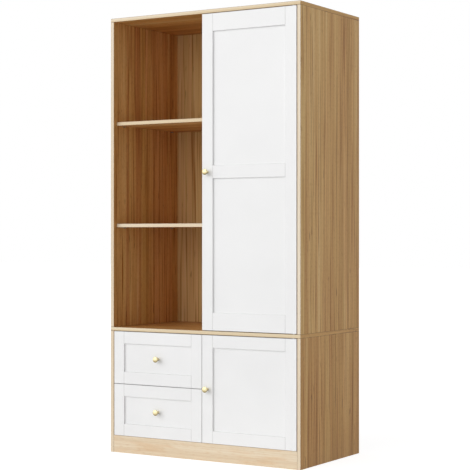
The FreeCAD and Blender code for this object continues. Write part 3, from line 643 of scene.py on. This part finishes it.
def screwPlaces(drawer, sizes):
    # where each screw of a drawer stands and which way its head looks
    low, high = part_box(drawer + "_runners")
    crownIn = metres(sizes["crownInMm"])
    places = []
    for share in sizes["runnerAlong"]:
        y, z = low.y + (high.y - low.y) * share, (low.z + high.z) / 2
        places += [((low.x + crownIn, y, z), (-1, 0, 0)), ((high.x - crownIn, y, z), (1, 0, 0))]
    low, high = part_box(drawer + "_box_ends")
    inner, off = metres(sizes["fromSidesMm"]), metres(sizes["offMiddleMm"])
    y, middleZ = low.y + metres(sizes["boardMm"]), (low.z + high.z) / 2
    for x in (low.x + inner, high.x - inner):
        places += [((x, y, middleZ - off), (0, 1, 0)), ((x, y, middleZ + off), (0, 1, 0))]
    return places


def putScrews(drawer, mesh, look, sizes):
    # the screws of one drawer in one piece
    places = screwPlaces(drawer, sizes)
    whole = bmesh.new()
    for number, (place, outward) in enumerate(places):
        whole.from_mesh(mesh)
        whole.verts.ensure_lookup_table()
        lean = Vector(outward).to_track_quat("Z", "Y").to_matrix().to_4x4()
        stand = Matrix.Translation(place) @ lean @ Matrix.Rotation(look["turnRad"] * number, 4, "Z")
        bmesh.ops.transform(whole, matrix=stand, verts=whole.verts[number * len(mesh.vertices):])
    joined = bpy.data.meshes.new(drawer + "_screws")
    whole.to_mesh(joined)
    whole.free()
    joined.materials.append(slotFinish["steel"])
    screws = bpy.data.objects.new(joined.name, joined)
    bpy.context.scene.collection.objects.link(screws)
    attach(screws, drawer)
    return len(places)


headMesh = screwHead(panHead)
drawers = ("upper_drawer", "lower_drawer")
screwCount = sum(putScrews(drawer, headMesh, panHead, drawerScrews) for drawer in drawers)
bpy.data.meshes.remove(headMesh)
print("small screws placed:", screwCount)


# Studio: a white floor that runs to the horizon and keeps a soft shadow, a white world for
# what the camera and the metals see, and one broad lamp from the front left.
studio = {
    "floorSize": 60.0, "floorColour": "f2f2f2", "floorRoughness": 0.9,
    "floorSeenShare": 0.6, "floorGlow": 1.42,
    "ambient": 0.465, "lampStrength": 2.0, "lampAngleDeg": 70,
    "lampFromLeftDeg": 30, "lampHeightDeg": 14, "lampDistance": 5,
}


def seenRays(tree):
    # 1 for rays from the camera, off shiny surfaces and through glass
    path = addNode(tree, "LightPath").outputs
    values = {0: path["Is Camera Ray"], 1: path["Is Glossy Ray"]}
    seen = addNode(tree, "Math", values, operation="MAXIMUM").outputs[0]
    values = {0: seen, 1: path["Is Transmission Ray"]}
    return addNode(tree, "Math", values, operation="MAXIMUM").outputs[0]


def buildFloor(look=studio):
    half = look["floorSize"] / 2
    mesh = bpy.data.meshes.new("studioFloor")
    shape = bmesh.new()
    corners = [shape.verts.new((x * half, y * half, 0)) for x, y in ((-1, -1), (1, -1), (1, 1), (-1, 1))]
    shape.faces.new(corners)
    shape.to_mesh(mesh)
    shape.free()
    floor = bpy.data.objects.new("studioFloor", mesh)
    bpy.context.scene.collection.objects.link(floor)
    material, tree, shader = newMaterial("whiteStudioFloor")
    shader.inputs["Base Color"].default_value = linear(look["floorColour"])
    shader.inputs["Roughness"].default_value = look["floorRoughness"]
    shader.inputs["Specular IOR Level"].default_value = 0.0
    glow = addNode(tree, "Emission", {"Color": (1, 1, 1, 1), "Strength": look["floorGlow"]}).outputs[0]
    values = {0: seenRays(tree), 1: look["floorSeenShare"]}
    share = addNode(tree, "Math", values, operation="MULTIPLY").outputs[0]
    both = addNode(tree, "MixShader", {0: share, 1: shader.outputs[0], 2: glow}).outputs[0]
    output = next(n for n in tree.nodes if n.type == "OUTPUT_MATERIAL")
    tree.links.new(both, output.inputs["Surface"])
    mesh.materials.append(material)


def buildWorld(look=studio):
    world = bpy.data.worlds.new("whiteStudio")
    bpy.context.scene.world = world
    world.use_nodes = True
    tree = world.node_tree
    tree.nodes.clear()
    ambient = addNode(tree, "Background", {"Color": (1, 1, 1, 1), "Strength": look["ambient"]})
    white = addNode(tree, "Background", {"Color": (1, 1, 1, 1), "Strength": 1.0})
    both = addNode(tree, "MixShader", {0: seenRays(tree), 1: ambient.outputs[0], 2: white.outputs[0]})
    addNode(tree, "OutputWorld", {"Surface": both.outputs[0]})


def buildLamp(look=studio):
    lamp = bpy.data.lights.new("softLamp", "SUN")
    lamp.energy = look["lampStrength"]
    lamp.angle = math.radians(look["lampAngleDeg"])
    holder = bpy.data.objects.new("softLamp", lamp)
    bpy.context.scene.collection.objects.link(holder)
    side, height = math.radians(look["lampFromLeftDeg"]), math.radians(look["lampHeightDeg"])
    level = math.cos(height)
    fromLamp = Vector((math.sin(side) * level, math.cos(side) * level, -math.sin(height)))
    holder.rotation_euler = fromLamp.to_track_quat("-Z", "Y").to_euler()
    holder.location = -fromLamp * look["lampDistance"]


buildFloor()
buildWorld()
buildLamp()
print("studio built")

# Camera: level, at the height of the middle of the wardrobe, to the right of the front.
view = {
    "place": (3.079, -5.021, 0.901), "tiltDeg": 90, "turnDeg": 31.5,
    "lensMm": 108.84, "sensorMm": 36,
}
camera = bpy.data.cameras.new("photoView")
camera.lens = view["lensMm"]
camera.sensor_width = view["sensorMm"]
cameraHolder = bpy.data.objects.new("photoView", camera)
cameraHolder.location = view["place"]
cameraHolder.rotation_euler = (math.radians(view["tiltDeg"]), 0, math.radians(view["turnDeg"]))
bpy.context.scene.collection.objects.link(cameraHolder)
bpy.context.scene.camera = cameraHolder
bpy.context.scene.view_settings.view_transform = "Standard"
print("camera set")
